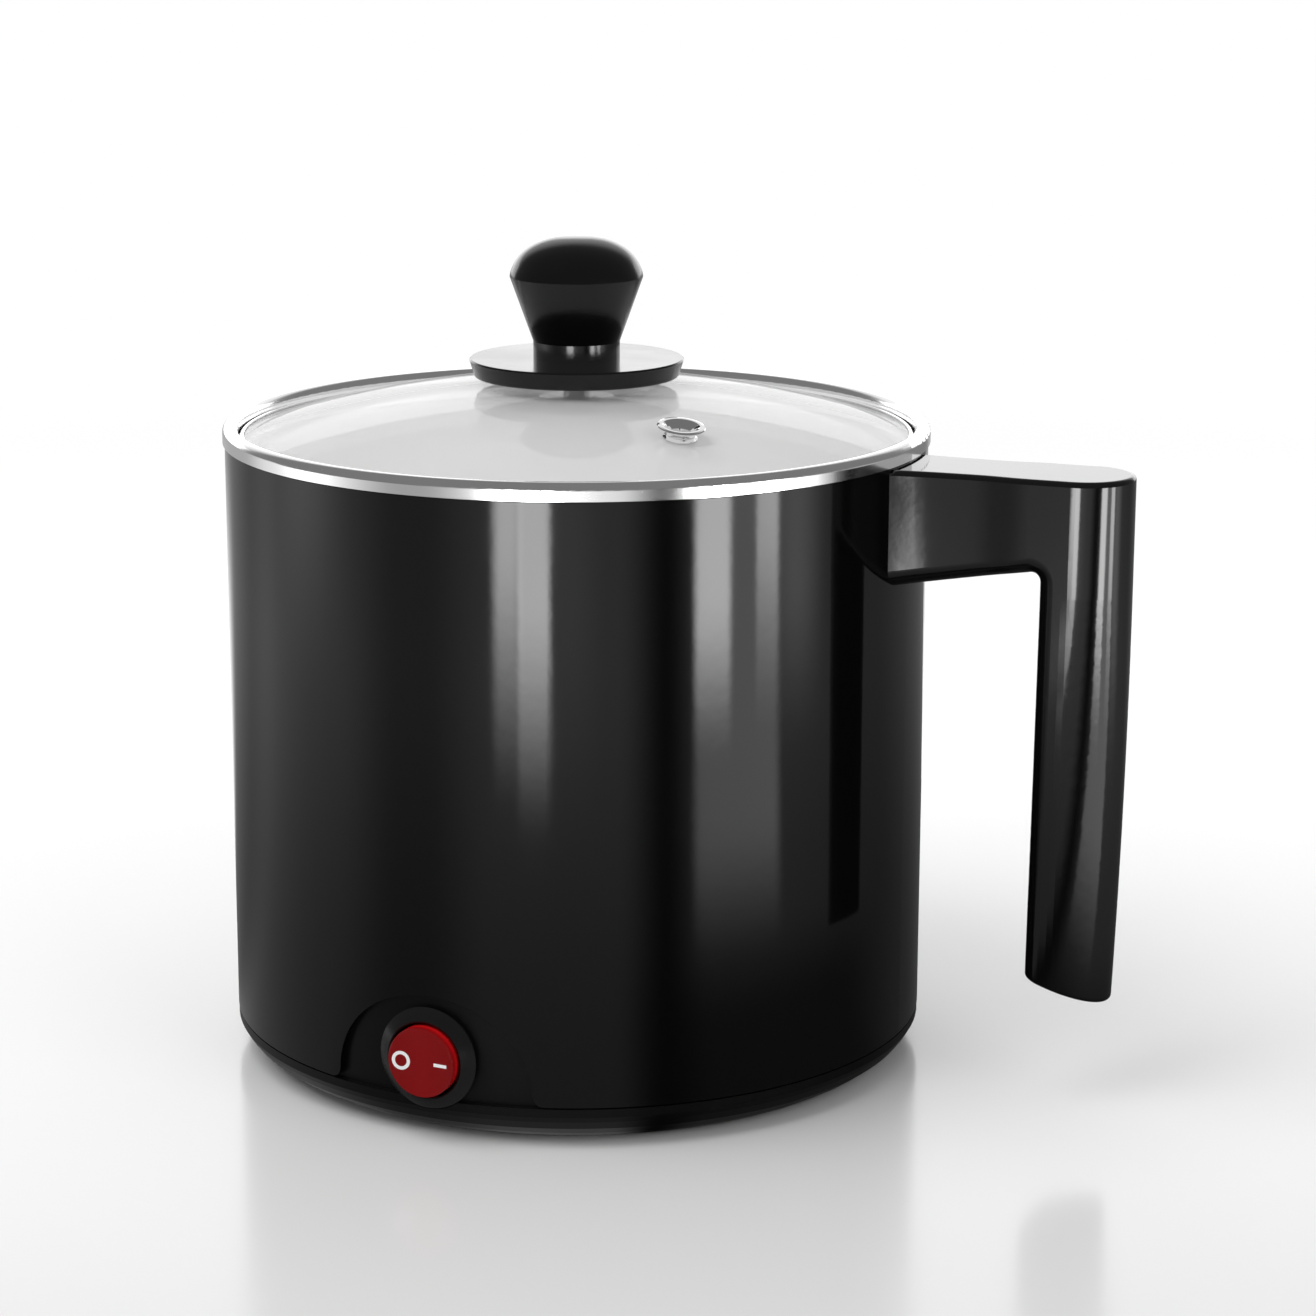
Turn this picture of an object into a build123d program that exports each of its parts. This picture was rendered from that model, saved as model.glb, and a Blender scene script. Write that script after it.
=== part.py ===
"""Electric hot pot with lift-off glass lid. Millimetres, +Z up.

Origin: centre of the resting face. +X runs along the handle, -Y faces the
rocker switch and +Y faces the appliance inlet.
"""
import os
from math import atan2, cos, degrees, radians, sin, sqrt

from build123d import *

os.makedirs("parts", exist_ok=True)

# ---------------------------------------------------------------- dimensions
FIT = 0.02              # small radial play of fixed screws
GAP = 0.1

# outer shell, the size that the rest follows
SHELL_R = 84.5
SHELL_T = 1.4
SHELL_LOW = 10.0

# pot and rim
RIM_TOP = 154.3
RIM_R = SHELL_R + 0.5           # outside of the rolled rim
RIM_W = 3.7                     # width of the roll
RIM_IN = RIM_R - RIM_W          # inside of the upstand around the lid
RIM_ROLL = RIM_W / 2
RIM_SKIRT = RIM_TOP - 4.2       # lower edge of the rolled rim
LEDGE = RIM_TOP - 7.5           # where the lid rests
LEDGE_W = 2.9
POT_T = 0.6
POT_R = RIM_IN - LEDGE_W        # inside of the cooking well
POT_FLOOR = 42.8
POT_CORNER = 8.0

# shoulder and neck of the shell, inside the rolled rim
SHELL_SHOULDER = RIM_SKIRT - 0.3
NECK_R = RIM_R - POT_T - 0.5
NECK_TOP = RIM_TOP - POT_T - 0.3

# base
BASE_WALL_R = SHELL_R - SHELL_T - 0.2
BASE_WALL_T = 2.2
BASE_WALL_TOP = 36.6
BASE_TOP = SHELL_LOW - 0.4
BASE_LOW = 0.5
BASE_FLOOR = 2.9
FOOT_R = 6.0
FOOT_RING = SHELL_R - 18.5
CENTRE_PAD_R = 9.0              # moulded pad level with the feet
POST_RING = SHELL_R - 18.5
POST_R = 3.2
POST_FOOT = 12.0                # top of the bosses that carry the posts
POST_ANGLES = (0, 112, 248)

# switch opening and switch; the flange's back lies on the curved panel
ARCH_HALF = 24.6
ARCH_RISE = 22.4
ARCH_Z = 12.0
ARCH_FLARE = 2.5
SWITCH_Z = 19.65
BEZEL_R = 12.1
BEZEL_IN = 8.95                 # opening around the rocker
BEZEL_BACK = -(BASE_WALL_R + 0.03)
COLLAR_R = BEZEL_IN + 2.0
COLLAR_END = BEZEL_BACK + 3.53
SWITCH_BACK = COLLAR_END + 17.4
ROCKER_R = BEZEL_IN - 0.65
ROCKER_FACE = 5.6               # rim of the face above the pivot
ROCKER_SKIRT = 2.2              # skirt below the pivot
ROCKER_DISH = 100.0             # radius of the hollow face
PIVOT_Y = BEZEL_BACK - 0.07
PIVOT_R = 0.8
PIVOT_FIT = 0.06

# inlet
INLET_Z = 20.2
SEAT_Y = SHELL_R - 2.9          # flat seat for the inlet
INLET_W, INLET_H = 30.0, 23.0
INLET_LIP = 2.2                 # thickness of the inlet's flange
INLET_BACK = SEAT_Y - 19.6
SOCKET_W, SOCKET_H, SOCKET_D = 24.4, 16.8, 14.5

# handle
HANDLE_HALF = 11.7
HANDLE_ROUND = SHELL_R + 41.9   # centre of the rounded end
HANDLE_TIP = SHELL_R + 53.6
HANDLE_TOP = RIM_SKIRT - 0.12   # at the tip
HANDLE_SLOPE = 0.0076           # the top rises gently outwards
ARM_LOW = HANDLE_TOP - 21.68    # underside of the arm at the grip
ARM_SLOPE = 0.1814
HANDLE_SPLIT = ARM_LOW + 3.7    # parting line between arm and grip
GRIP_START = SHELL_R + 32.0     # where the waist has widened again
GRIP_IN = SHELL_R + 34.5        # inner side of the grip at its top
GRIP_JOIN = ARM_LOW - 5.3
GRIP_END = 30.8                 # height of the slanted end at GRIP_END_X
GRIP_END_X = SHELL_R + 36.1
GRIP_END_SLOPE = 0.36
EDGE_FILLET = 4.0
TOP_FILLET = 1.2
END_FILLET = 0.8                # edges of the slanted end
SCREW_R = 2.0
HANDLE_SCREWS = (HANDLE_SPLIT - 1.0, HANDLE_SPLIT + 10.0)
HANDLE_THREAD = SHELL_R + 16.5  # end of the two handle screws
PLATE_T = 1.2
GRIP_SCREW_X = SHELL_R + 43.0
GRIP_SEAT = HANDLE_SPLIT - 20.0     # seat of the grip's screw
GRIP_THREAD = HANDLE_SPLIT + 11.0   # end of the grip's screw
PLUG_R = 4.2

# lid
GLASS_R = RIM_IN - 1.1
GLASS_T = 3.5
BAND_R = RIM_IN - 0.4
BAND_T = 0.4
BAND_LOW = LEDGE + GAP
BAND_TOP = BAND_LOW + 4.8
DOME_R = 270.0
DOME_TOP = BAND_TOP - BAND_T - 0.19 + DOME_R - sqrt(DOME_R ** 2 - GLASS_R ** 2)
KNOB_HOLE = 3.2
VENT_R = GLASS_R - 25.95        # distance from the axis
VENT_ANGLE = -40.4              # direction from +X
VENT_TUBE = 3.2
VENT_BORE = 2.65
HUB_LOW = DOME_TOP + 0.6
GUARD_R = 25.75
GUARD_TOP = DOME_TOP + 5.8
GUARD_LOW = GUARD_TOP - 4.3
NECK_KNOB = 10.4
KNOB_R = 15.95
KNOB_NECK = GUARD_TOP + 4.1
KNOB_CREASE = GUARD_TOP + 19.5
KNOB_TOP = GUARD_TOP + 29.1
INSERT_R = 4.0
INSERT_TOP = GUARD_TOP + 12.4


# ------------------------------------------------------------------- helpers
def lathe(*points):
    """Solid of revolution about Z from (radius, height) corner points."""
    return revolve(Plane.XZ * make_face(Polyline(*points, close=True)), Axis.Z)


def lathe_lines(lines):
    return revolve(Plane.XZ * make_face(lines), Axis.Z)


def rod(x, y, z0, z1, r):
    return Pos(x, y, (z0 + z1) / 2) * Cylinder(r, z1 - z0)


def rod_x(x0, x1, y, z, r):
    return Pos((x0 + x1) / 2, y, z) * Rot(0, 90, 0) * Cylinder(r, x1 - x0)


def rod_y(y0, y1, x, z, r):
    return Pos(x, (y0 + y1) / 2, z) * Rot(90, 0, 0) * Cylinder(r, abs(y1 - y0))


def block(x0, x1, y0, y1, z0, z1):
    return Pos((x0 + x1) / 2, (y0 + y1) / 2, (z0 + z1) / 2) * Box(x1 - x0, y1 - y0, z1 - z0)


def polar(r, angle):
    return r * cos(radians(angle)), r * sin(radians(angle))


def turned(z, *points):
    """Solid of revolution about the line y at x=0, height z; points (radius, y)."""
    solid = revolve(Plane.XY * make_face(Polyline(*points, close=True)), Axis.Y)
    return Pos(0, 0, z) * solid


def save(shape, node):
    export_step(shape, f"parts/{node}.step")


# ----------------------------------------------------------------- inner pot
def make_inner_pot():
    roll_c = (RIM_IN + RIM_ROLL, RIM_TOP - RIM_ROLL)
    knee = POT_R - POT_CORNER
    skin = Curve() + [
        Line((0, POT_FLOOR), (knee, POT_FLOOR)),
        RadiusArc((knee, POT_FLOOR), (POT_R, POT_FLOOR + POT_CORNER), -POT_CORNER),
        Line((POT_R, POT_FLOOR + POT_CORNER), (POT_R, LEDGE)),
        Line((POT_R, LEDGE), (RIM_IN, LEDGE)),
        Line((RIM_IN, LEDGE), (RIM_IN, roll_c[1])),
        ThreePointArc((RIM_IN, roll_c[1]), (roll_c[0], RIM_TOP), (RIM_R, roll_c[1])),
        Line((RIM_R, roll_c[1]), (RIM_R, RIM_SKIRT)),
    ]
    under = Curve() + [
        Line((0, POT_FLOOR - POT_T), (knee, POT_FLOOR - POT_T)),
        RadiusArc((knee, POT_FLOOR - POT_T), (POT_R + POT_T, POT_FLOOR + POT_CORNER),
                  -POT_CORNER - POT_T),
        Line((POT_R + POT_T, POT_FLOOR + POT_CORNER), (POT_R + POT_T, LEDGE - POT_T)),
        Line((POT_R + POT_T, LEDGE - POT_T), (RIM_IN + POT_T, LEDGE - POT_T)),
        Line((RIM_IN + POT_T, LEDGE - POT_T), (RIM_IN + POT_T, roll_c[1])),
        ThreePointArc((RIM_IN + POT_T, roll_c[1]), (roll_c[0], RIM_TOP - POT_T),
                      (RIM_R - POT_T, roll_c[1])),
        Line((RIM_R - POT_T, roll_c[1]), (RIM_R - POT_T, RIM_SKIRT)),
    ]
    ends = [Line((0, POT_FLOOR), (0, POT_FLOOR - POT_T)),
            Line((RIM_R, RIM_SKIRT), (RIM_R - POT_T, RIM_SKIRT))]
    return lathe_lines(skin + under + ends)


# --------------------------------------------------------------- outer shell
def arch_cutter():
    """Arched opening for the switch panel, flared at its two feet."""
    face = Pos(0, ARCH_Z) * Ellipse(ARCH_HALF, ARCH_RISE)
    face &= Pos(0, ARCH_Z + 20) * Rectangle(80, 40)
    face += Pos(0, ARCH_Z / 2) * Rectangle(2 * ARCH_HALF, ARCH_Z)
    top = SHELL_LOW + ARCH_FLARE
    for side in (-1, 1):
        edge = side * (ARCH_HALF + ARCH_FLARE / 2)
        foot = Pos(edge, top / 2) * Rectangle(ARCH_FLARE, top)
        face += foot - Pos(side * (ARCH_HALF + ARCH_FLARE), top) * Circle(ARCH_FLARE)
    return Pos(0, 10 - SHELL_R, 0) * extrude(Plane.XZ * face, 14)


def make_outer_shell():
    inner = SHELL_R - SHELL_T
    shell = lathe((inner, SHELL_LOW), (SHELL_R, SHELL_LOW), (SHELL_R, SHELL_SHOULDER),
                  (NECK_R, SHELL_SHOULDER), (NECK_R, NECK_TOP), (inner, NECK_TOP))
    shell -= arch_cutter()
    rear = RectangleRounded(INLET_W + 6, 40, 5)
    shell -= Pos(0, SHELL_R + 6, INLET_Z - 5) * extrude(Plane.XZ * rear, 16)
    for z in HANDLE_SCREWS:
        shell -= rod_x(SHELL_R - 6, SHELL_R + 6, 0, z, SCREW_R + 0.2)
    return shell


# ---------------------------------------------------------------------- base
def make_base_cover():
    wall_in = BASE_WALL_R - BASE_WALL_T
    r = SHELL_R - 0.1
    base = lathe((0, BASE_LOW), (r - 7.9, BASE_LOW), (r - 5.2, 2.0), (r - 2.4, 4.1),
                 (r - 0.8, 6.2), (r, 7.6), (r, BASE_TOP), (BASE_WALL_R, BASE_TOP),
                 (BASE_WALL_R, BASE_WALL_TOP), (wall_in, BASE_WALL_TOP), (wall_in, 6.5),
                 (wall_in - 2.2, BASE_FLOOR), (0, BASE_FLOOR))
    # switch hole, and a notch in the ledge for the flange
    base -= rod_y(-r - 6, COLLAR_END + 9, 0, SWITCH_Z, COLLAR_R + 0.2)
    base -= rod_y(-r - 6, BEZEL_BACK, 0, SWITCH_Z, BEZEL_R + 0.25)
    # inlet seat and hole
    base -= block(-(INLET_W / 2 + 0.3), INLET_W / 2 + 0.3, SEAT_Y, SEAT_Y + 8,
                  INLET_Z - INLET_H / 2 - 0.3, INLET_Z + INLET_H / 2 + 0.3)
    base -= block(-13.6, 13.6, SEAT_Y - 12, SEAT_Y + 8, INLET_Z - 10.1, INLET_Z + 10.1)
    for angle in (45, 135, 225, 315):
        x, y = polar(FOOT_RING, angle)
        base -= rod(x, y, 0, 1.6, FOOT_R + 0.15)
    for angle in POST_ANGLES:
        x, y = polar(POST_RING, angle)
        base += rod(x, y, BASE_FLOOR - 0.5, POST_FOOT, 5.6)
        base -= rod(x, y, 0, 5.0, 4.0)
        base -= rod(x, y, 0, POST_FOOT + 1, 1.8)
    return base + rod(0, 0, 0, BASE_LOW + 0.5, CENTRE_PAD_R)


def make_foot(angle):
    x, y = polar(FOOT_RING, angle)
    pad = Cylinder(FOOT_R, 1.6)
    pad = fillet(pad.edges().group_by(Axis.Z)[0], 0.4)
    return Pos(x, y, 0.8) * pad


def make_post(angle):
    x, y = polar(POST_RING, angle)
    post = rod(x, y, POST_FOOT, POT_FLOOR - POT_T, POST_R)
    return post - rod(x, y, POST_FOOT - 1, POST_FOOT + 12, 1.5)


def make_base_screw(angle):
    x, y = polar(POST_RING, angle)
    screw = rod(x, y, 2.8, 5.0, 3.6) + rod(x, y, 4.0, POST_FOOT + 10, 1.5 - FIT)
    return screw - Pos(x, y, 2.8) * (Box(4.4, 0.8, 1.6) + Box(0.8, 4.4, 1.6))


# ------------------------------------------------------------------- heating
PLATE_LOW = POT_FLOOR - POT_T - 5.5
ELEMENT_R = 3.3
HEAT_R = POST_RING - 6.0
ELEMENT_RING = HEAT_R - 15.0


def make_heating_plate():
    return rod(0, 0, PLATE_LOW, POT_FLOOR - POT_T, HEAT_R)


def make_heating_element():
    """Open ring of tube under the plate, its two ends turned down."""
    z = PLATE_LOW - ELEMENT_R - 0.05
    ring = revolve(Plane.XZ * Pos(ELEMENT_RING, 0) * Circle(ELEMENT_R), Axis.Z, 300)
    ring = Pos(0, 0, z) * Rot(0, 0, 210) * ring
    for angle in (210, 150):
        x, y = polar(ELEMENT_RING, angle)
        ring += Pos(x, y, z) * Sphere(ELEMENT_R)
        ring += rod(x, y, z - 8, z, ELEMENT_R)
        ring += rod(x, y, z - 13, z - 6, 1.2)
    return ring


def make_thermostat():
    z = PLATE_LOW - GAP
    body = rod(0, 0, z - 1.5, z, 8.2) + rod(0, 0, z - 6.5, z - 1.5, 7.4)
    for x in (-4.5, 4.5):
        body += block(x - 0.4, x + 0.4, -3.1, 3.1, z - 13, z - 6)
    return body


def make_thermostat_clip():
    z = PLATE_LOW - GAP
    clip = block(-16, 16, -9, 9, z - 2.6, z - 1.6) - rod(0, 0, z - 10, z, 7.5)
    return clip + block(-16, -12, -9, 9, z - 2, PLATE_LOW) + block(12, 16, -9, 9, z - 2, PLATE_LOW)


def make_thermal_fuse():
    z = PLATE_LOW - 2.6
    return (rod_x(-12, 12, -20, z, 2.4) + rod_x(-17, -12, -20, z, 0.6)
            + rod_x(12, 17, -20, z, 0.6))


# -------------------------------------------------------------------- switch
def make_switch_bezel():
    """Sloping flange with a collar that carries the rocker's pivot."""
    back = BEZEL_BACK
    ring = turned(SWITCH_Z, (BEZEL_IN, COLLAR_END), (COLLAR_R, COLLAR_END),
                  (COLLAR_R, back), (BEZEL_R - 0.5, back), (BEZEL_R, back - 1.32),
                  (BEZEL_R, back - 1.57), (BEZEL_R - 0.3, back - 1.82),
                  (BEZEL_R - 1.5, back - 2.75), (BEZEL_IN + 0.35, back - 3.6),
                  (BEZEL_IN, back - 3.45))
    reach = COLLAR_R - 0.45
    return ring - rod(0, PIVOT_Y, SWITCH_Z - reach, SWITCH_Z + reach, PIVOT_R + PIVOT_FIT)


def make_switch_housing():
    body = rod_y(SWITCH_BACK, COLLAR_END, 0, SWITCH_Z, COLLAR_R)
    for side in (-1, 1):
        x = side * (COLLAR_R - 0.25)
        body += block(x - 0.9, x + 0.9, COLLAR_END, COLLAR_END + 5.4, SWITCH_Z - 3, SWITCH_Z + 3)
    body -= rod_y(COLLAR_END - 10, COLLAR_END + 3.4, 0, SWITCH_Z, BEZEL_IN)
    for z in TERMINAL_Z:
        body -= block(-3.2, 3.2, SWITCH_BACK - 4, SWITCH_BACK + 1, z - 0.45, z + 0.45)
    return body


def make_switch_terminal(z):
    tab = block(-3.1, 3.1, SWITCH_BACK - 3.8, SWITCH_BACK + 8, z - 0.4, z + 0.4)
    return tab - rod(0, SWITCH_BACK + 5, z - 2, z + 2, 0.9)


TERMINAL_Z = (SWITCH_Z - 5, SWITCH_Z + 5)


FACE_Y = PIVOT_Y - ROCKER_FACE
MARK_SINK = 0.7         # depth of the marks behind the rim of the face
MARK_X = 4.95
O_R, O_W = 2.25, 0.8
BAR_L, BAR_W = 3.3, 0.77


def dish(lift=0.0):
    """Large cylinder that hollows the face; lift keeps it clear of the marks."""
    centre = FACE_Y - sqrt(ROCKER_DISH ** 2 - ROCKER_R ** 2) - lift
    return rod(0, centre, SWITCH_Z - 12, SWITCH_Z + 12, ROCKER_DISH)


def o_mark(sink):
    ring = rod_y(FACE_Y - 1, FACE_Y + sink, -MARK_X, SWITCH_Z, O_R)
    return ring - rod_y(FACE_Y - 2, FACE_Y + 2, -MARK_X, SWITCH_Z, O_R - O_W)


def bar_mark(sink):
    return block(MARK_X - BAR_L / 2, MARK_X + BAR_L / 2, FACE_Y - 1, FACE_Y + sink,
                 SWITCH_Z - BAR_W / 2, SWITCH_Z + BAR_W / 2)


def make_rocker():
    r, skirt = ROCKER_R, PIVOT_Y + ROCKER_SKIRT
    body = turned(SWITCH_Z, (0, skirt), (r - 0.5, skirt), (r, skirt - 0.5), (r, FACE_Y + 0.7),
                  (r - 0.1, FACE_Y + 0.3), (r - 0.3, FACE_Y + 0.1), (r - 0.6, FACE_Y),
                  (0, FACE_Y))
    reach = COLLAR_R - 0.65
    body += rod(0, PIVOT_Y, SWITCH_Z - reach, SWITCH_Z + reach, PIVOT_R)
    return body - dish() - o_mark(MARK_SINK) - bar_mark(MARK_SINK)


def make_mark(shape):
    return shape - dish(0.04)


# --------------------------------------------------------------------- inlet
def make_inlet_housing():
    z0, z1 = INLET_Z - 9.9, INLET_Z + 9.9
    face_y = SEAT_Y + INLET_LIP
    flange = Pos(0, face_y, INLET_Z) * extrude(
        Plane.XZ * RectangleRounded(INLET_W, INLET_H, 2.5), INLET_LIP)
    body = flange + block(-13.4, 13.4, INLET_BACK, SEAT_Y, z0, z1)
    # socket recess with its two cut corners
    corner = 4.0
    w, h = SOCKET_W / 2, SOCKET_H / 2
    recess = make_face(Polyline((-w, -h), (w, -h), (w, h - corner), (w - corner, h),
                                (-w + corner, h), (-w, h - corner), close=True))
    body -= Pos(0, face_y + 1, INLET_Z) * extrude(Plane.XZ * recess, SOCKET_D + 1)
    for x, dz in PINS.values():
        body -= block(x - 1.05, x + 1.05, INLET_BACK - 2, SEAT_Y - 2,
                      INLET_Z + dz - 2.05, INLET_Z + dz + 2.05)
    return body


PINS = {"live": (-7.0, -2.0), "neutral": (7.0, -2.0), "earth": (0.0, 2.0)}


def make_pin(name):
    x, dz = PINS[name]
    z = INLET_Z + dz
    tip = SEAT_Y + 0.6
    pin = block(x - 1, x + 1, INLET_BACK - 2, tip, z - 2, z + 2)
    pin = chamfer(pin.edges().group_by(Axis.Y)[-1], 0.5)
    return pin + block(x - 0.4, x + 0.4, INLET_BACK - 9, INLET_BACK - 0.1, z - 3.1, z + 3.1)


# -------------------------------------------------------------------- handle
def handle_plan():
    """Top outline: narrow waist between the root and the rounded end."""
    w, xc = HANDLE_HALF, HANDLE_ROUND
    half = [(SHELL_R - 14.5, w + 0.7), (SHELL_R - 0.5, w + 0.15), (SHELL_R + 7.5, w - 0.55),
            (SHELL_R + 15.5, w - 0.85), (SHELL_R + 22.5, w - 0.8), (GRIP_START, w)]
    flip = [(x, -y) for x, y in half]
    lines = Curve() + [
        Spline(*half, tangents=[(1, -0.03), (1, 0)]), Line((GRIP_START, w), (xc, w)),
        ThreePointArc((xc, w), (HANDLE_TIP, 0), (xc, -w)), Line((xc, -w), (GRIP_START, -w)),
        Spline(*flip, tangents=[(1, 0.03), (1, 0)]), Line(half[0], flip[0])]
    return make_face(lines)


def grip_section(z, x_in, xc, tip, w):
    """Section of the grip: flat inner side, half-elliptical outer side."""
    outer = Pos(xc, 0) * Ellipse(tip - xc, w)
    outer &= Pos(xc + 20, 0) * Rectangle(40, 40)
    inner = Pos((x_in + xc) / 2, 0) * Rectangle(xc - x_in, 2 * w)
    inner = fillet(inner.vertices().group_by(Axis.X)[0], EDGE_FILLET)
    return Pos(0, 0, z) * (outer + inner)


def grip_end(x):
    return GRIP_END - GRIP_END_SLOPE * (x - GRIP_END_X)


def make_handle_form():
    """Arm and grip in one, before they are parted."""
    def top(x):
        return HANDLE_TOP + HANDLE_SLOPE * (x - HANDLE_TIP)

    root, out = SHELL_R - 24, HANDLE_TIP + 7
    side = make_face(Polyline(
        (root, top(root)), (out, top(out)), (out, GRIP_JOIN), (GRIP_IN, GRIP_JOIN),
        (GRIP_IN, ARM_LOW), (root, ARM_LOW - ARM_SLOPE * (GRIP_IN - root)), close=True))
    side = fillet(side.vertices().sort_by_distance((GRIP_IN, ARM_LOW))[0], 2.0)
    arm = Pos(0, 0, ARM_LOW - 30) * extrude(handle_plan(), 60)
    arm &= Pos(0, 20, 0) * extrude(Plane.XZ * side, 40)
    arm = fillet([e for e in arm.edges() if (e @ 0.5).Z > top(root) - 0.2
                  and (e @ 0.5).X > SHELL_R - 13], TOP_FILLET)
    arm = fillet([e for e in arm.edges() if abs((e @ 0.5).Y) > HANDLE_HALF - 1.7
                  and (e @ 0.5).Z < ARM_LOW + 0.7
                  and SHELL_R - 13 < (e @ 0.5).X < GRIP_IN + 0.05], EDGE_FILLET)
    w = HANDLE_HALF
    grip = loft([grip_section(GRIP_JOIN, GRIP_IN, HANDLE_ROUND, HANDLE_TIP, w),
                 grip_section(GRIP_JOIN - 28, GRIP_IN - 0.35, HANDLE_ROUND - 1.8,
                              HANDLE_TIP - 0.1, w - 0.1),
                 grip_section(GRIP_END - 8.8, GRIP_IN - 1.35, HANDLE_ROUND - 4.7,
                              HANDLE_TIP - 2.0, w - 0.6)])
    slant = degrees(atan2(GRIP_END_SLOPE, 1))
    grip -= (Pos(HANDLE_ROUND, 0, grip_end(HANDLE_ROUND)) * Rot(0, slant, 0) * Pos(0, 0, -20)
             * Box(60, 60, 40))
    form = arm + grip
    end = [e for e in form.edges() if e.bounding_box().max.Z < grip_end(GRIP_IN - 2)]
    return fillet(end, END_FILLET)


def grip_zone():
    return block(GRIP_START, HANDLE_TIP + 20, -30, 30, 0, HANDLE_SPLIT)


def tenon(grow=0.0):
    return block(GRIP_IN + 2.3 - grow, GRIP_IN + 5.3 + grow, -4 - grow, 4 + grow,
                 HANDLE_SPLIT - 2, HANDLE_SPLIT + 3 + grow)


def make_handle_arm(form):
    arm = form - grip_zone() - rod(0, 0, ARM_LOW - 30, ARM_LOW + 30, SHELL_R)
    arm -= block(0, SHELL_R - 14, -30, 30, ARM_LOW - 30, ARM_LOW + 30) + tenon(0.1)
    for z in HANDLE_SCREWS:
        arm -= rod_x(SHELL_R - 5, HANDLE_THREAD + 2, 0, z, SCREW_R)
    return arm - rod(GRIP_SCREW_X, 0, GRIP_JOIN, GRIP_THREAD + 1, SCREW_R)


def make_handle_grip(form):
    grip = (form & grip_zone()) + tenon()
    grip -= rod(GRIP_SCREW_X, 0, 0, GRIP_THREAD, SCREW_R + 0.2)
    return grip - rod(GRIP_SCREW_X, 0, 0, GRIP_SEAT, PLUG_R)


def make_handle_plug():
    z = grip_end(GRIP_SCREW_X)
    return rod(GRIP_SCREW_X, 0, z + 2.0, z + 6.0, PLUG_R - FIT)


def make_grip_screw():
    x, head = GRIP_SCREW_X, GRIP_SEAT - 2.6
    screw = rod(x, 0, head, GRIP_SEAT, 3.8) + rod(x, 0, GRIP_SEAT - 1, GRIP_THREAD, SCREW_R - FIT)
    return screw - Pos(x, 0, head) * (Box(4.6, 0.9, 2) + Box(0.9, 4.6, 2))


def make_handle_plate():
    r = SHELL_R - SHELL_T
    low, high = HANDLE_SCREWS[0] - 6, LEDGE - POT_T - 0.4
    plate = lathe((r - PLATE_T, low), (r, low), (r, high), (r - PLATE_T, high))
    plate &= block(0, SHELL_R, -11, 11, low, high)
    for z in HANDLE_SCREWS:
        plate -= rod_x(SHELL_R - 6, SHELL_R, 0, z, SCREW_R + 0.2)
    return plate


def make_handle_screw(z):
    seat = SHELL_R - SHELL_T - PLATE_T - 0.1
    screw = rod_x(seat - 1.8, seat, 0, z, 3.6) + rod_x(seat - 0.5, HANDLE_THREAD, 0, z,
                                                            SCREW_R - FIT)
    return screw - Pos(seat - 1.8, 0, z) * (Box(1.8, 4.4, 0.8) + Box(1.8, 0.8, 4.4))


# ----------------------------------------------------------------------- lid
DOME_C = DOME_TOP - DOME_R


def dome_z(r, radius=DOME_R):
    return DOME_C + sqrt(radius * radius - r * r)


def ball(radius):
    return Pos(0, 0, DOME_C) * Sphere(radius)


def on_dome(shape):
    """Put a piece built about Z, with the glass top at 0, at the steam vent."""
    tilt = degrees(atan2(VENT_R, sqrt(DOME_R ** 2 - VENT_R ** 2)))
    place = Pos(VENT_R, 0, dome_z(VENT_R)) * Rot(0, tilt, 0)
    return Rot(0, 0, VENT_ANGLE) * place * shape


def make_lid_glass():
    inner = DOME_R - GLASS_T
    mid = GLASS_R / 2
    glass = lathe_lines(Curve() + [
        ThreePointArc((0, DOME_TOP), (mid, dome_z(mid)), (GLASS_R, dome_z(GLASS_R))),
        Line((GLASS_R, dome_z(GLASS_R)), (GLASS_R, dome_z(GLASS_R, inner))),
        ThreePointArc((GLASS_R, dome_z(GLASS_R, inner)), (mid, dome_z(mid, inner)),
                      (0, DOME_TOP - GLASS_T)),
        Line((0, DOME_TOP - GLASS_T), (0, DOME_TOP))])
    glass -= rod(0, 0, LEDGE, DOME_TOP + 5, KNOB_HOLE)
    return glass - on_dome(Cylinder(VENT_TUBE + GAP, 20))


def make_lid_band():
    r, t = BAND_R, BAND_T
    return lathe((r - 2.0, BAND_LOW), (r, BAND_LOW), (r, BAND_TOP - 0.3), (r - 0.3, BAND_TOP),
                 (r - 1.0, BAND_TOP), (r - 1.0, BAND_TOP - t), (r - t - 0.1, BAND_TOP - t),
                 (r - t - 0.1, BAND_LOW + t), (r - 2.0, BAND_LOW + t))


def make_vent_grommet():
    seat = -GLASS_T - 0.05
    t, b = VENT_TUBE, VENT_BORE
    grommet = lathe((b, seat - 0.9), (4.7, seat - 0.9), (4.7, seat), (t, seat), (t, 0.05),
                    (4.0, 0.05), (4.0, 0.4), (3.4, 0.6), (3.55, 1.3), (4.1, 2.0), (4.9, 2.55),
                    (5.45, 2.75), (5.58, 2.95), (5.45, 3.15), (5.0, 3.25), (4.3, 3.2),
                    (3.75, 2.85), (3.2, 2.2), (2.8, 1.4), (b, 0.5))
    return on_dome(grommet)


def make_knob_guard():
    low_r = GUARD_R - 1.1
    return lathe((SCREW_R + 0.2, HUB_LOW), (14, HUB_LOW), (14, GUARD_LOW),
                 (low_r - 0.3, GUARD_LOW), (low_r, GUARD_LOW + 0.3), (GUARD_R, GUARD_TOP - 0.4),
                 (GUARD_R - 0.35, GUARD_TOP), (SCREW_R + 0.2, GUARD_TOP))


def make_knob_seal():
    seal = rod(0, 0, DOME_TOP - 1, HUB_LOW, 12.5) - ball(DOME_R + 0.02)
    return seal - rod(0, 0, LEDGE, GUARD_TOP, SCREW_R + 0.2)


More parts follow.
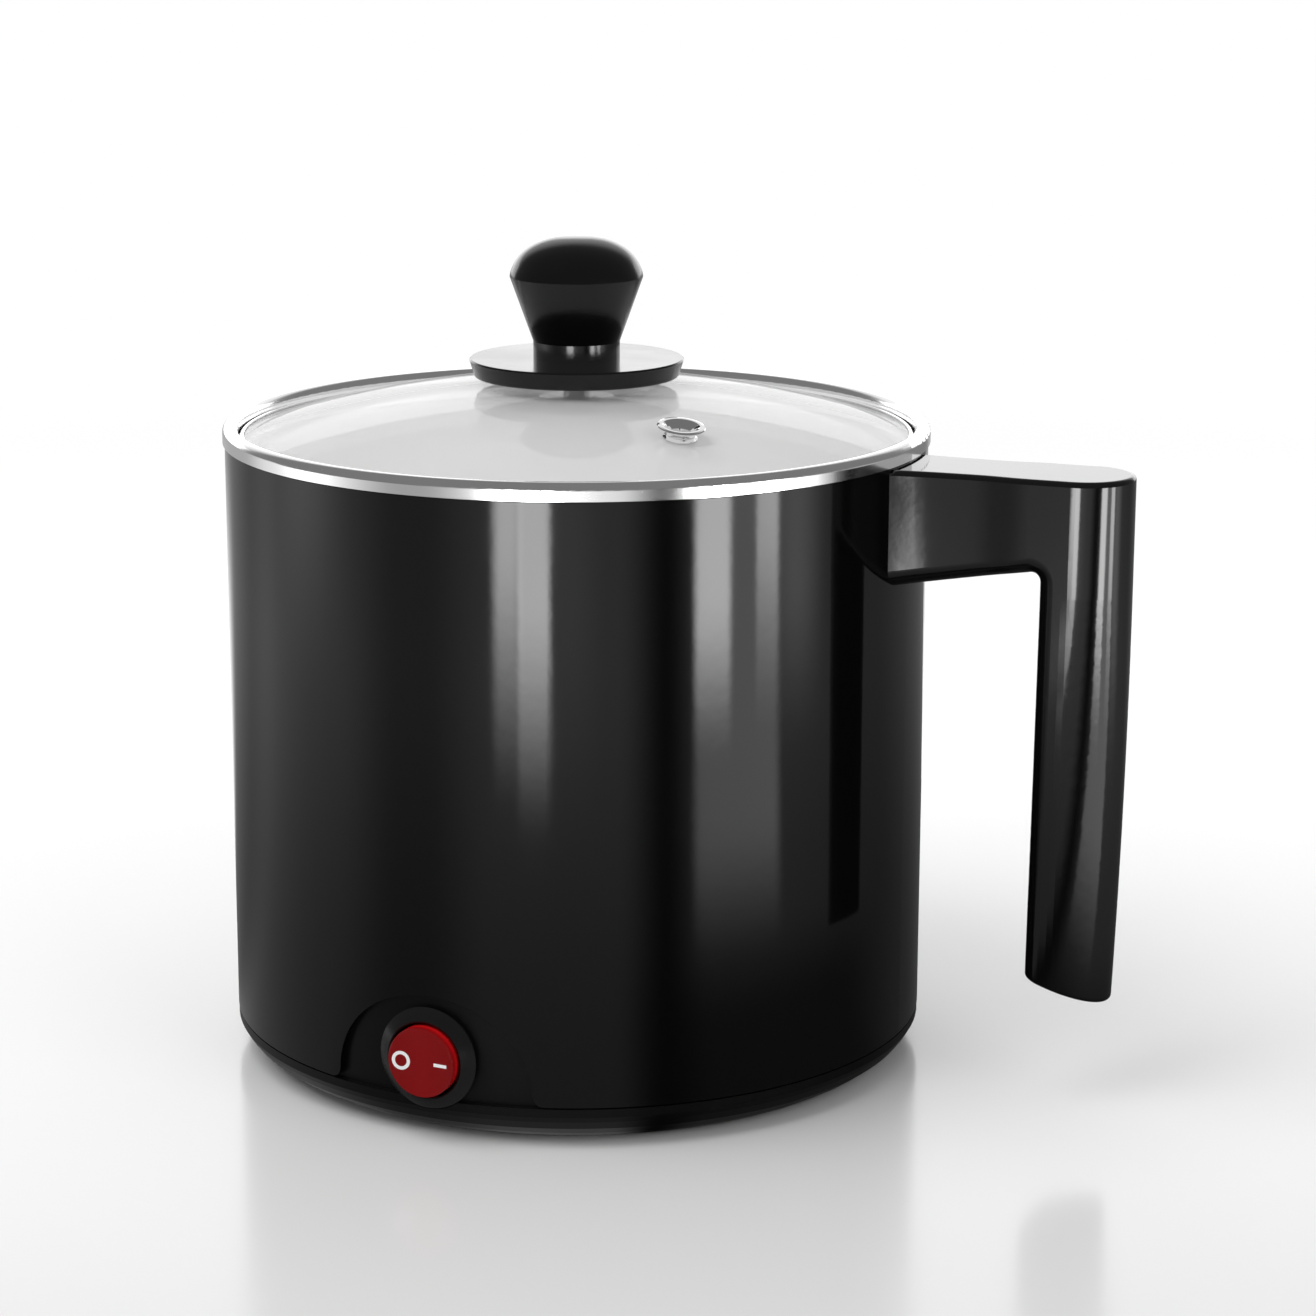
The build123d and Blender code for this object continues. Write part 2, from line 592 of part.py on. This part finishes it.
def make_knob_washer():
    low = DOME_TOP - GLASS_T - 1.4
    washer = rod(0, 0, low, DOME_TOP - 2, 9) & ball(DOME_R - GLASS_T - 0.02)
    return washer - rod(0, 0, LEDGE, GUARD_TOP, SCREW_R + 0.2)


def make_knob_screw():
    seat = DOME_TOP - GLASS_T - 1.4
    screw = (rod(0, 0, seat - 2.4, seat, 4.2)
             + rod(0, 0, seat - 1, INSERT_TOP - 1.5, SCREW_R - FIT))
    return screw - Pos(0, 0, seat - 2.4) * (Box(5, 0.9, 2) + Box(0.9, 5, 2))


def make_knob_insert():
    insert = rod(0, 0, GUARD_TOP + 0.2, INSERT_TOP, INSERT_R - FIT)
    return insert - rod(0, 0, GUARD_TOP, INSERT_TOP + 1, SCREW_R)


def make_knob_grip():
    crown = Spline((0, KNOB_TOP), (KNOB_R - 8.05, KNOB_TOP - 1.0), (KNOB_R - 3.55, KNOB_TOP - 3.4),
                   (KNOB_R - 1.45, KNOB_TOP - 5.8), (KNOB_R - 0.3, KNOB_TOP - 8.2),
                   (KNOB_R, KNOB_CREASE), tangents=[(1, 0), (0.12, -1)])
    knob = lathe_lines(Curve() + [
        crown, Line((KNOB_R, KNOB_CREASE), (NECK_KNOB, KNOB_NECK)),
        Line((NECK_KNOB, KNOB_NECK), (NECK_KNOB, GUARD_TOP)),
        Line((NECK_KNOB, GUARD_TOP), (0, GUARD_TOP)),
        Line((0, GUARD_TOP), (0, KNOB_TOP))])
    knob -= rod(0, 0, GUARD_TOP - 1, INSERT_TOP, INSERT_R)
    return knob - rod(0, 0, GUARD_TOP - 1, INSERT_TOP + 3.5, SCREW_R + 0.2)


# --------------------------------------------------------------------- leads
LEAD_R = 1.2


def pin_tab(name, grow=0.0):
    x, dz = PINS[name]
    z = INLET_Z + dz
    return block(x - 0.4 - grow, x + 0.4 + grow, INLET_BACK - 9 - grow, INLET_BACK + 1,
                 z - 3.1 - grow, z + 3.1 + grow)


def lead_path(points, start, end):
    path = Spline(*points, tangents=[start, end])
    return sweep(Plane(path @ 0, z_dir=path % 0) * Circle(LEAD_R), path=path)


def pin_sleeve(name):
    x, dz = PINS[name]
    z = INLET_Z + dz
    sleeve = block(x - 1.3, x + 1.3, INLET_BACK - 11.5, INLET_BACK - 3, z - 4, z + 4)
    return sleeve - pin_tab(name, 0.05)


def switch_sleeve(z):
    y = SWITCH_BACK
    sleeve = block(-4, 4, y + 2, y + 11, z - 1.4, z + 1.4)
    return sleeve - block(-3.15, 3.15, y + 1, y + 8.1, z - 0.45, z + 0.45)


def thermostat_sleeve(x):
    low = PLATE_LOW - GAP - 13
    sleeve = block(x - 1.3, x + 1.3, -4, 4, low - 3, low + 5)
    return sleeve - block(x - 0.45, x + 0.45, -3.15, 3.15, low - 0.05, low + 6)


def element_sleeve(angle):
    x, y = polar(ELEMENT_RING, angle)
    low = PLATE_LOW - ELEMENT_R - 13
    return rod(x, y, low - 4, low + 4, 2.2) - rod(x, y, low - 0.1, low + 6, 1.25)


def fuse_sleeve(side):
    z = PLATE_LOW - 2.6
    ends = sorted((side * 14, side * 21))
    sleeve = rod_x(*ends, -20, z, 1.6)
    return sleeve - rod_x(*sorted((side * 13, side * 17.1)), -20, z, 0.65)


def make_leads():
    """Six leads in the base, each with its push-on ends."""
    down, up, left, back = (0, 0, -1), (0, 0, 1), (-1, 0, 0), (0, -1, 0)
    low = PLATE_LOW - GAP - 15.5
    pin_z = PLATE_LOW - ELEMENT_R - 16.5
    fuse_z = PLATE_LOW - 2.6
    ex, ey = polar(ELEMENT_RING, 150)
    inlet, switch = INLET_BACK - 11, SWITCH_BACK + 10.5
    leads = {}
    leads["lead_live"] = (
        lead_path([(-7, inlet, 18.2), (-24, 34, 16), (-28, 0, 14), (-16, -32, 16),
                   (0, switch, TERMINAL_Z[1])], back, back)
        + pin_sleeve("live") + switch_sleeve(TERMINAL_Z[1]))
    leads["lead_switched"] = (
        lead_path([(0, switch, TERMINAL_Z[0]), (12, -38, 13), (29, -27, 24), (20.5, -20, fuse_z)],
                  (0, 1, 0), left)
        + switch_sleeve(TERMINAL_Z[0]) + fuse_sleeve(1))
    leads["lead_fuse"] = (
        lead_path([(-20.5, -20, fuse_z), (-27, -15, 25), (-15, -7, 15), (-4.5, 0, low)],
                  left, up)
        + fuse_sleeve(-1) + thermostat_sleeve(-4.5))
    leads["lead_heater"] = (
        lead_path([(4.5, 0, low), (0, -9, 9), (-20, -23, 6.5), (-36, -25, 9),
                   (ex, -ey, pin_z)], down, up)
        + thermostat_sleeve(4.5) + element_sleeve(210))
    leads["lead_neutral"] = (
        lead_path([(7, inlet, 18.2), (1, 38, 9), (-20, 29, 6.5), (-36, 25, 9), (ex, ey, pin_z)],
                  back, up)
        + pin_sleeve("neutral") + element_sleeve(150))
    leads["lead_earth"] = (
        lead_path([(0, inlet, 22.2), (0, 40, 24), (0, 31, 30), (0, 29, 36)], back, up)
        + pin_sleeve("earth") + rod(0, 29, PLATE_LOW - 0.9, PLATE_LOW, 4))
    return leads


# ------------------------------------------------------------------- all out
save(make_inner_pot(), "inner_pot")
save(make_outer_shell(), "outer_shell")

save(make_base_cover(), "base_cover")
for number, angle in enumerate((45, 135, 225, 315), 1):
    save(make_foot(angle), f"foot_{number}")
for number, angle in enumerate(POST_ANGLES, 1):
    save(make_post(angle), f"base_post_{number}")
    save(make_base_screw(angle), f"base_screw_{number}")

save(make_heating_plate(), "heating_plate")
save(make_heating_element(), "heating_element")
save(make_thermostat(), "thermostat")
save(make_thermostat_clip(), "thermostat_clip")
save(make_thermal_fuse(), "thermal_fuse")

save(make_switch_bezel(), "switch_bezel")
save(make_switch_housing(), "switch_housing")
for number, height in enumerate(TERMINAL_Z, 1):
    save(make_switch_terminal(height), f"switch_terminal_{number}")
save(make_rocker(), "rocker")
save(make_mark(o_mark(MARK_SINK - FIT)), "rocker_mark_off")
save(make_mark(bar_mark(MARK_SINK - FIT)), "rocker_mark_on")

save(make_inlet_housing(), "inlet_housing")
for name in PINS:
    save(make_pin(name), f"inlet_pin_{name}")

form = make_handle_form()
save(make_handle_arm(form), "handle_arm")
save(make_handle_grip(form), "handle_grip")
save(make_handle_plug(), "handle_plug")
save(make_grip_screw(), "grip_screw")
save(make_handle_plate(), "handle_plate")
for number, height in enumerate(HANDLE_SCREWS, 1):
    save(make_handle_screw(height), f"handle_screw_{number}")

save(make_lid_glass(), "lid_glass")
save(make_lid_band(), "lid_band")
save(make_vent_grommet(), "vent_grommet")
save(make_knob_seal(), "knob_seal")
save(make_knob_guard(), "knob_guard")
save(make_knob_grip(), "knob_grip")
save(make_knob_washer(), "knob_washer")
save(make_knob_screw(), "knob_screw")
save(make_knob_insert(), "knob_insert")

for node, solid in make_leads().items():
    save(solid, node)
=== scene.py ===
"""Looks of the electric hot pot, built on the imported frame. Metres, row frame."""
import math

import bmesh
import bpy
from mathutils import Matrix, Vector


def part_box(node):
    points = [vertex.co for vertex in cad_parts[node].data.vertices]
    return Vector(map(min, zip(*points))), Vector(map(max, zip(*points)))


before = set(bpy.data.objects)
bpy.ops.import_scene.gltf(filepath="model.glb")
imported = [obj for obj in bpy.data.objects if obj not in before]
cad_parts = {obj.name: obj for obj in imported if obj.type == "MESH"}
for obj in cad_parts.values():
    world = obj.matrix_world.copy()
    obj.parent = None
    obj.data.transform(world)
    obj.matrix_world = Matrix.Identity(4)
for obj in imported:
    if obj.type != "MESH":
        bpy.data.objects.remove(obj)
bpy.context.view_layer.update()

PI = math.pi
WHITE_LIGHT = (1.0, 1.0, 1.0)

# Sizes read from the frame, in metres.
POT_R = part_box("outer_shell")[1].x
WELL_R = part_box("lid_band")[1].x
SATIN_END = WELL_R - 0.003          # the pot's satin inside turns into the polished rim
POLISH_START = WELL_R - 0.001       # between these two radii
ROCKER_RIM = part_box("rocker")[0].y
ROCKER_BACK = ROCKER_RIM + 0.0022   # from here inwards the rocker's wall has its full painted brighter red

# The camera, and the side of the stage it looks from.
EYE = Vector((0.33978, -0.76315, 0.295707))
VIEW_TURN = math.radians(24)        # azimuth from -Y towards +X
LOOK_DOWN = 0.232
LOOK_ASIDE = 0.012
FRAME_PX = 1316.0
FOCAL_PX = 3509.24
CENTRE_PX = (618.438, 643.974)
SENSOR = 36.0


# ------------------------------------------------------------------- shaders
class Wire:
    """A shader socket that takes plain maths."""

    def __init__(self, tree, socket):
        self.tree, self.socket = tree, socket

    def math(self, op, *inputs):
        return self.tree.node("ShaderNodeMath", 0, operation=op,
                              **{f"i{i}": v for i, v in enumerate(inputs)})

    def __add__(self, other):
        return self.math("ADD", self, other)

    def __radd__(self, other):
        return self.math("ADD", other, self)

    def __sub__(self, other):
        return self.math("SUBTRACT", self, other)

    def __rsub__(self, other):
        return self.math("SUBTRACT", other, self)

    def __mul__(self, other):
        return self.math("MULTIPLY", self, other)

    def __rmul__(self, other):
        return self.math("MULTIPLY", other, self)

    def power(self, other):
        return self.math("POWER", self, other)

    def larger(self, other):
        return self.math("MAXIMUM", self, other)

    def ramp(self, low, high, start=0.0, end=1.0):
        """From start to end while the value goes from low to high."""
        return self.tree.node("ShaderNodeMapRange", 0, interpolation_type="SMOOTHSTEP",
                              i0=self, i1=low, i2=high, i3=start, i4=end)

    def band(self, low, high, soft):
        """1 between low and high, 0 outside, with soft edges."""
        return self.ramp(low - soft, low + soft) * self.ramp(high - soft, high + soft, 1, 0)


class Tree:
    """Short calls for the nodes of a material or of the world."""

    def __init__(self, node_tree):
        self.nodes, self.links = node_tree.nodes, node_tree.links

    def put(self, value, socket):
        """Link a wire to a socket, or set the socket's own value."""
        if isinstance(value, Wire):
            self.links.new(value.socket, socket)
        elif isinstance(value, (tuple, list)) and len(value) == 3 and socket.type == "RGBA":
            socket.default_value = (*value, 1.0)
        else:
            socket.default_value = value

    def node(self, kind, output=0, **values):
        """A node: plain names are its settings, and i0, i1... are its inputs."""
        node = self.nodes.new(kind)
        inputs = {k: v for k, v in values.items() if k[0] == "i" and k[1:].isdigit()}
        for key, value in values.items():
            if key not in inputs:
                setattr(node, key, value)
        for key, value in inputs.items():
            self.put(value, node.inputs[int(key[1:])])
        return Wire(self, node.outputs[output])

    def place(self):
        """Position in metres, the same on every piece."""
        return self.node("ShaderNodeTexCoord", "Object")

    def axis(self, name):
        return self.node("ShaderNodeSeparateXYZ", name, i0=self.place())

    def radius(self):
        """Distance from the pot's upright axis."""
        x = self.axis("X")
        y = self.axis("Y")
        return (x * x + y * y).power(0.5)

    def noise(self, scale, detail=2.0):
        return self.node("ShaderNodeTexNoise", 0, i0=self.place(), i2=scale, i3=detail)

    def rings(self, scale):
        """Fine lines round the pot's own axis, as left by spinning and polishing."""
        spot = self.node("ShaderNodeCombineXYZ", 0, i0=self.radius(), i2=self.axis("Z"))
        return self.node("ShaderNodeTexNoise", 0, i0=spot, i2=scale, i3=3.0)

    def mix(self, factor, a, b):
        """Blend of two colours."""
        return self.node("ShaderNodeMix", 2, data_type="RGBA", i0=factor, i6=a, i7=b)

    def blend(self, factor, a, b):
        """Blend of two shaders."""
        return self.node("ShaderNodeMixShader", 0, i0=factor, i1=a, i2=b)

    def glow(self, strength):
        return self.node("ShaderNodeEmission", 0, i0=WHITE_LIGHT, i1=strength)

    def ray(self, name):
        """What kind of ray this is, or how many bounces it has had."""
        return self.node("ShaderNodeLightPath", name)


class Mat(Tree):
    """A material with one Principled shader."""

    def __init__(self, name, color, rough, metal=0.0, **values):
        self.mat = bpy.data.materials.new(name)
        self.mat.use_nodes = True
        super().__init__(self.mat.node_tree)
        self.shader = self.nodes["Principled BSDF"]
        self.out = self.nodes["Material Output"]
        self.set("Base Color", color)
        self.set("Roughness", rough)
        self.set("Metallic", metal)
        for key, value in values.items():
            self.set(key.replace("_", " "), value)

    def set(self, name, value):
        self.put(value, self.shader.inputs[name])

    def surface(self, shader):
        """Let this shader be what the material shows."""
        self.put(shader, self.out.inputs[0])

    def bump(self, height, distance):
        self.set("Normal", self.node("ShaderNodeBump", 0, i0=1.0, i1=distance, i3=height))

    def cloudy(self, color, rough, spread, scale, shift):
        """Colour and roughness that wander a little over the surface."""
        cloud = self.noise(scale, 3.0)
        lighter = tuple(min(1.0, channel * shift) for channel in color)
        self.set("Base Color", self.mix(cloud, color, lighter))
        self.set("Roughness", cloud.ramp(0.3, 0.7, rough - spread, rough + spread))


def grey(level):
    return (level, level, level)


def plastic(name, color, rough, spread, grain, depth, scale=45.0, **values):
    """Moulded plastic: uneven gloss and a fine moulded grain."""
    mat = Mat(name, color, rough, **values)
    mat.cloudy(color, rough, spread, scale, 1.25)
    mat.bump(mat.noise(grain, 2.0), depth)
    return mat


def metal(name, color, rough, spread, grain=900.0, depth=0.00001):
    """Plain metal with faint drawing marks."""
    mat = Mat(name, color, rough, 1.0)
    mat.cloudy(color, rough, spread, 70.0, 1.06)
    mat.bump(mat.noise(grain, 3.0), depth)
    return mat


def pot_steel():
    """Deep-drawn pot: polished rim outside, spun and satin inside."""
    mat = Mat("pot_steel", grey(0.8), 0.2, 1.0)
    inside = mat.radius().ramp(SATIN_END, POLISH_START, 1, 0)
    rings = mat.rings(2600.0)
    satin = mat.mix(rings, grey(0.88), grey(0.97))
    mat.set("Base Color", mat.mix(inside, grey(0.86), satin))
    mat.set("Roughness", 0.13 + rings * 0.05 + inside * 0.16)
    mat.bump(rings * inside, 0.000006)
    return mat


def glass_with_painted_white():
    """Tempered lid glass with a painted milky white that stands in for the light seen in the
    lid.
    """
    # Painted light: the white base, part opaque through Alpha, makes the glass read bright.
    mat = Mat("lid_glass", grey(1.0), 0.0, Alpha=0.46, IOR=1.42)
    cloud = mat.noise(30.0, 3.0)
    mat.set("Base Color", mat.mix(cloud, grey(0.96), grey(1.0)))
    mat.set("Roughness", cloud.ramp(0.35, 0.75, 0.0, 0.012))
    return mat


def red_with_painted_light():
    """Red rocker with painted light: the wall that goes into the collar is painted a brighter
    red than the face.
    """
    mat = Mat("rocker_red", (0.55, 0.008, 0.01), 0.24, Specular_IOR_Level=0.22)
    # Painted light: a brighter red on the wall, a deeper red on the face.
    painted_light_wall = mat.axis("Y").ramp(ROCKER_RIM, ROCKER_BACK)
    cloud = mat.noise(260.0, 3.0)
    bright = mat.mix(cloud, (0.52, 0.006, 0.008), (0.62, 0.010, 0.012))
    mat.set("Base Color", mat.mix(painted_light_wall, (0.20, 0.003, 0.004), bright))
    mat.set("Roughness", cloud.ramp(0.3, 0.7, 0.2, 0.27))
    mat.bump(mat.noise(1500.0), 0.000008)
    return mat


BODY = plastic("gloss_black_sleeve", grey(0.0022), 0.075, 0.02, 240.0, 0.000008, 14.0,
               Specular_IOR_Level=0.30)
BASE = plastic("satin_black_base", grey(0.003), 0.34, 0.04, 2200.0, 0.00002,
               Specular_IOR_Level=0.20)
HANDLE = plastic("gloss_black_handle", grey(0.0025), 0.08, 0.02, 300.0, 0.000008, 22.0,
                 Specular_IOR_Level=0.40)
KNOB = plastic("satin_black_knob", grey(0.002), 0.17, 0.03, 1500.0, 0.00001,
               Specular_IOR_Level=0.33)
BEZEL = plastic("bezel_black", grey(0.004), 0.22, 0.03, 2600.0, 0.00002,
                Specular_IOR_Level=0.35)
DARK = plastic("moulding_black", grey(0.012), 0.45, 0.05, 1800.0, 0.00004)
RED = red_with_painted_light()
WHITE = plastic("mark_white", grey(0.82), 0.45, 0.05, 3000.0, 0.00001)
RUBBER = plastic("rubber", grey(0.02), 0.8, 0.06, 1200.0, 0.00005)
SILICONE = plastic("seal_clear", grey(0.62), 0.3, 0.05, 800.0, 0.00001)
STEEL = metal("bright_steel", grey(0.76), 0.16, 0.03)
BAND = metal("band_steel", grey(0.80), 0.12, 0.03)
CHROME = metal("chrome", grey(0.74), 0.04, 0.015)
BRASS = metal("brass", (0.72, 0.55, 0.25), 0.3, 0.05)
ALU = metal("cast_aluminium", grey(0.6), 0.45, 0.06, 500.0, 0.00006)
POT = pot_steel()
GLASS = glass_with_painted_white()

SCREWS = ["base_screw_1", "base_screw_2", "base_screw_3", "handle_screw_1", "handle_screw_2",
          "grip_screw", "knob_screw", "knob_washer"]
BASE_STEEL = ["handle_plate", "base_post_1", "base_post_2", "base_post_3", "thermostat_clip",
              "heating_element"]
FEET = ["foot_1", "foot_2", "foot_3", "foot_4"]
LEADS = ["lead_live", "lead_switched", "lead_fuse", "lead_heater", "lead_neutral", "lead_earth"]
CONTACTS = ["inlet_pin_live", "inlet_pin_neutral", "inlet_pin_earth", "switch_terminal_1",
            "switch_terminal_2"]

LOOKS = {
    BODY: ["outer_shell"],
    BASE: ["base_cover", "handle_plug"],
    HANDLE: ["handle_arm", "handle_grip"],
    KNOB: ["knob_grip", "knob_guard"],
    POT: ["inner_pot"],
    BAND: ["lid_band"],
    STEEL: SCREWS + BASE_STEEL,
    CHROME: ["vent_grommet"],
    BEZEL: ["switch_bezel"],
    DARK: ["switch_housing", "inlet_housing", "thermostat"],
    RED: ["rocker"],
    WHITE: ["rocker_mark_off", "rocker_mark_on", "thermal_fuse"],
    RUBBER: FEET + LEADS,
    SILICONE: ["knob_seal"],
    ALU: ["heating_plate"],
    GLASS: ["lid_glass"],
    BRASS: ["knob_insert"] + CONTACTS,
}
for look, names in LOOKS.items():
    for name in names:
        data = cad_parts[name].data
        data.materials.clear()
        data.materials.append(look.mat)


# --------------------------------------------------------------------- stage
def plane(name, centre, size, turn, material):
    """A flat stage piece with its place in its mesh."""
    mesh = bpy.data.meshes.new(name)
    bm = bmesh.new()
    bmesh.ops.create_grid(bm, x_segments=1, y_segments=1, size=0.5)
    bmesh.ops.scale(bm, vec=(size[0], size[1], 1), verts=bm.verts)
    bmesh.ops.rotate(bm, matrix=turn, verts=bm.verts)
    bmesh.ops.translate(bm, vec=centre, verts=bm.verts)
    bm.to_mesh(mesh)
    bm.free()
    obj = bpy.data.objects.new(name, mesh)
    bpy.context.collection.objects.link(obj)
    mesh.materials.append(material)
    return obj


# What a round gloss wall mirrors from the floor. Angles in degrees from -Y towards +X, seen
# from the wall's focus, half its radius behind it. Distances are from the wall, in metres.
# The focus and the strips are placed for this camera. They stay there when the view changes,
# so other views show them elsewhere on the wall. Strengths are in times white.
FOCUS = Vector((EYE.x, EYE.y)).normalized() * POT_R / 2
#          from, to, soft edge, strength, starts at, full at
STRIPS = [(-2.2, 5.5, 2.0, 13.5, 0.27, 0.70),
          (5.5, 15.4, 1.2, 14.5, 0.24, 0.58),
          (61.6, 73.4, 1.5, 13.0, 0.32, 0.58),
          (82.5, 90.5, 1.0, 8.6, 0.34, 0.76),
          (61.6, 90.5, 2.0, 1.9, 0.12, 0.26),
          (90.0, 104.0, 7.0, 1.4, 0.30, 0.60),
          (-80.0, -60.0, 9.0, 0.7, 0.35, 0.80),
          (-190.0, -127.0, 6.0, 1.1, 0.90, 0.08),
          (10.0, 28.0, 7.0, 0.4, 0.20, 0.60)]
#          from, to, soft edge, share taken away
SHADES = [(-46.0, -14.0, 12.0, 0.55), (44.0, 60.0, 8.0, 0.94), (-200.0, -98.0, 9.0, 0.5),
          (110.0, 200.0, 30.0, 0.75)]
#             from, to, soft edge, share taken away, fades from, gone at
FOOT_SHADE = (46.0, 125.0, 14.0, 0.75, 0.07, 0.16)
FLOOR_TONE = 0.87
FLOOR_FADE = (0.25, 0.9)        # where the seen floor starts to turn white, and is white


def floor_tone(mat, away):
    """How bright the floor looks to a gloss surface, by direction and distance."""
    x = mat.axis("X") - FOCUS.x
    y = mat.axis("Y") - FOCUS.y
    angle = mat.node("ShaderNodeMath", 0, operation="ARCTAN2", i0=x, i1=0 - y) * (180 / PI)
    # Painted shadow: the glow is darker near the pot, as the pot's shadow on the floor.
    tone = away.ramp(0.0, 0.5, 0.35, 1.0) * FLOOR_TONE
    for low, high, soft, share in SHADES:
        tone = tone * (1 - angle.band(low, high, soft) * share)
    low, high, soft, share, near, far = FOOT_SHADE
    tone = tone * (1 - angle.band(low, high, soft) * away.ramp(near, far, share, 0))
    first_bounce = mat.ray("Ray Depth").ramp(1.4, 1.6, 1, 0)
    for low, high, soft, strength, start, full in STRIPS:
        strip = angle.band(low, high, soft) * away.ramp(start, full)
        tone = tone + strip * first_bounce * strength
    return tone


def floor_look():
    """Pale worktop with a soft sheen. Gloss surfaces see the studio's light strips in it."""
    mat = Mat("floor", grey(0.82), 0.16, Specular_IOR_Level=0.4)
    mat.set("Base Color", mat.mix(mat.noise(3.0, 4.0), grey(0.80), grey(0.84)))
    away = mat.radius() - POT_R
    worktop = Wire(mat, mat.shader.outputs[0])
    whiteness = mat.ray("Is Camera Ray") * away.ramp(*FLOOR_FADE)
    seen = mat.blend(whiteness, worktop, mat.glow(1.0))
    # Gloss rays see a painted glow here instead of the worktop: the tone from floor_tone.
    mat.surface(mat.blend(mat.ray("Is Glossy Ray"), seen, mat.glow(floor_tone(mat, away))))
    return mat


plane("floor", (0, 0, 0), (8, 8), Matrix.Identity(3), floor_look().mat)


def gloss_card(name, centre, size, turn, strength):
    """A panel seen only in reflections."""
    look = Mat(name, grey(0), 1.0)
    look.surface(look.glow(strength))
    card = plane(name, centre, size, turn, look.mat)
    card.visible_camera = False
    card.visible_diffuse = False
    card.visible_transmission = False
    card.visible_shadow = False


BACK_AWAY = 1.6                 # from the pot's axis to the window panel
WINDOW_Z = 0.45                 # its middle
UPRIGHT = Matrix.Rotation(VIEW_TURN, 3, "Z") @ Matrix.Rotation(PI / 2, 3, "X")
BEHIND = Vector((-math.sin(VIEW_TURN), math.cos(VIEW_TURN), 0))
gloss_card("window_behind", BEHIND * BACK_AWAY + Vector((0, 0, WINDOW_Z)), (3.2, 0.62),
           UPRIGHT, 2.1)


def lamp(name, spot, side, power):
    """A square lamp aimed at the pot's middle, not seen in the gloss surfaces."""
    data = bpy.data.lights.new(name, "AREA")
    data.size = side
    data.energy = power
    obj = bpy.data.objects.new(name, data)
    bpy.context.collection.objects.link(obj)
    obj.location = spot
    aim = POT_MIDDLE - Vector(spot)
    obj.rotation_euler = aim.to_track_quat("-Z", "Y").to_euler()
    obj.visible_glossy = False


POT_MIDDLE = Vector((0, 0, 0.1))
lamp("key", (-0.6, -0.7, 1.5), 1.2, 14)
lamp("fill", (1.3, -0.6, 0.9), 0.9, 5)

AMBIENT = 0.55                  # the light all round, on what is not gloss
FRONT_TONE = 0.2                # what early reflections see outside the cone behind the pot


def room():
    """White for the camera. Early reflections see white only in a cone behind the pot."""
    world = bpy.context.scene.world or bpy.data.worlds.new("world")
    bpy.context.scene.world = world
    world.use_nodes = True
    world.node_tree.nodes.clear()
    sky = Tree(world.node_tree)
    camera_ray = sky.ray("Is Camera Ray")
    early = sky.ray("Ray Depth").ramp(2.4, 2.6, 1, 0)
    heading = sky.node("ShaderNodeTexCoord", "Generated")
    forward = sky.node("ShaderNodeVectorMath", "Value", operation="DOT_PRODUCT", i0=heading,
                       i1=-BEHIND)
    front = forward.ramp(-0.82, -0.60) * early * (1 - camera_ray)
    direct = sky.ray("Is Glossy Ray").larger(sky.ray("Is Transmission Ray")).larger(camera_ray)
    plain = sky.node("ShaderNodeBackground", 0, i0=WHITE_LIGHT, i1=AMBIENT)
    level = 1 - front * (1 - FRONT_TONE)
    white = sky.node("ShaderNodeBackground", 0, i0=WHITE_LIGHT, i1=level)
    world_out = sky.nodes.new("ShaderNodeOutputWorld")
    sky.put(sky.blend(direct, plain, white), world_out.inputs[0])


room()


# -------------------------------------------------------------------- camera
cam = bpy.data.cameras.new("camera")
cam.sensor_width = SENSOR
cam.lens = FOCAL_PX / FRAME_PX * SENSOR
cam.shift_x = (FRAME_PX / 2 - CENTRE_PX[0]) / FRAME_PX
cam.shift_y = (CENTRE_PX[1] - FRAME_PX / 2) / FRAME_PX
eye = bpy.data.objects.new("camera", cam)
bpy.context.collection.objects.link(eye)
eye.location = EYE
eye.rotation_euler = (PI / 2 - LOOK_DOWN, 0, VIEW_TURN - LOOK_ASIDE)
bpy.context.scene.camera = eye
bpy.context.scene.view_settings.view_transform = "Standard"
